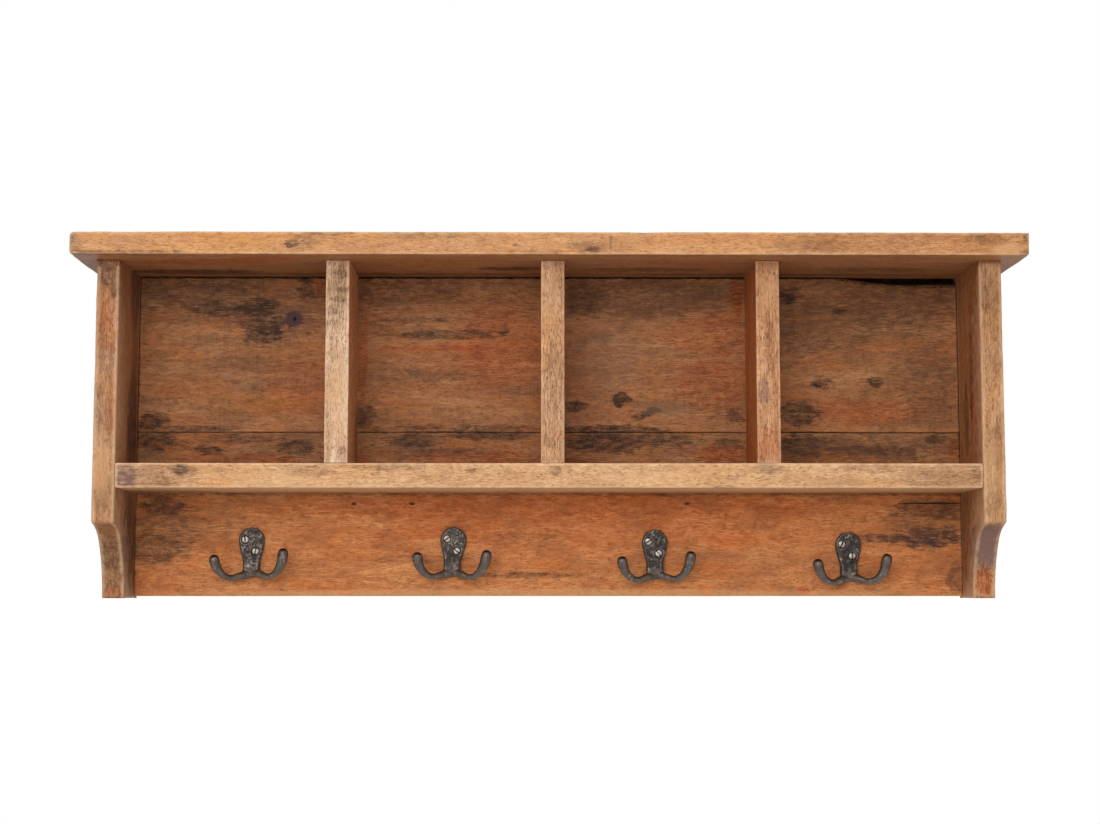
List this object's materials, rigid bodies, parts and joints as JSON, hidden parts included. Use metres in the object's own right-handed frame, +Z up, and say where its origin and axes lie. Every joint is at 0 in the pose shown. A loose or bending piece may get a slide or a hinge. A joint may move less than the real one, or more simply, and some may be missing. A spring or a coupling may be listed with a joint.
{
  "type": "wall coat rack",
  "caption": "Wall coat rack in reclaimed timber: a row of open cubbies under an overhanging top, scooped side panels, and a hook board with cast-iron double hooks below.",
  "frame": {"origin": "on the wall plane, midway between the entry holes of the two keyhole hanger plates", "axes": "+X to the right seen from the front, +Y into the wall, +Z up; the front of the rack faces -Y"},
  "size_m": [1, 0.15, 0.38],
  "materials": {
    "board_timber": "sanded and waxed reclaimed hardwood",
    "back_timber": "sanded and waxed reclaimed hardwood, redder",
    "tenon_wood": "planed hardwood",
    "hook_iron": "waxed raw casting, rubbed on the high spots",
    "screw_steel": "bright turned",
    "nail_iron": "black cut iron",
    "hanger_steel": "zinc plated"
  },
  "bodies": {
    "root": {"top_board": "board_timber", "left_side_panel": "board_timber", "right_side_panel": "board_timber", "cubby_shelf": "board_timber", "left_divider": "board_timber", "middle_divider": "board_timber", "right_divider": "board_timber", "upper_back_board": "back_timber", "middle_back_board": "back_timber", "hook_board": "back_timber", "coat_hook_1": "hook_iron", "coat_hook_2": "hook_iron", "coat_hook_3": "hook_iron", "coat_hook_4": "hook_iron", "hook_screws": "screw_steel", "top_tenons": "tenon_wood", "divider_tenons": "tenon_wood", "shelf_tenons": "tenon_wood", "hook_board_tenons": "tenon_wood", "back_board_nails": "nail_iron", "left_hanger_plate": "hanger_steel", "right_hanger_plate": "hanger_steel", "hanger_screws": "screw_steel"}
  },
  "joints": []
}
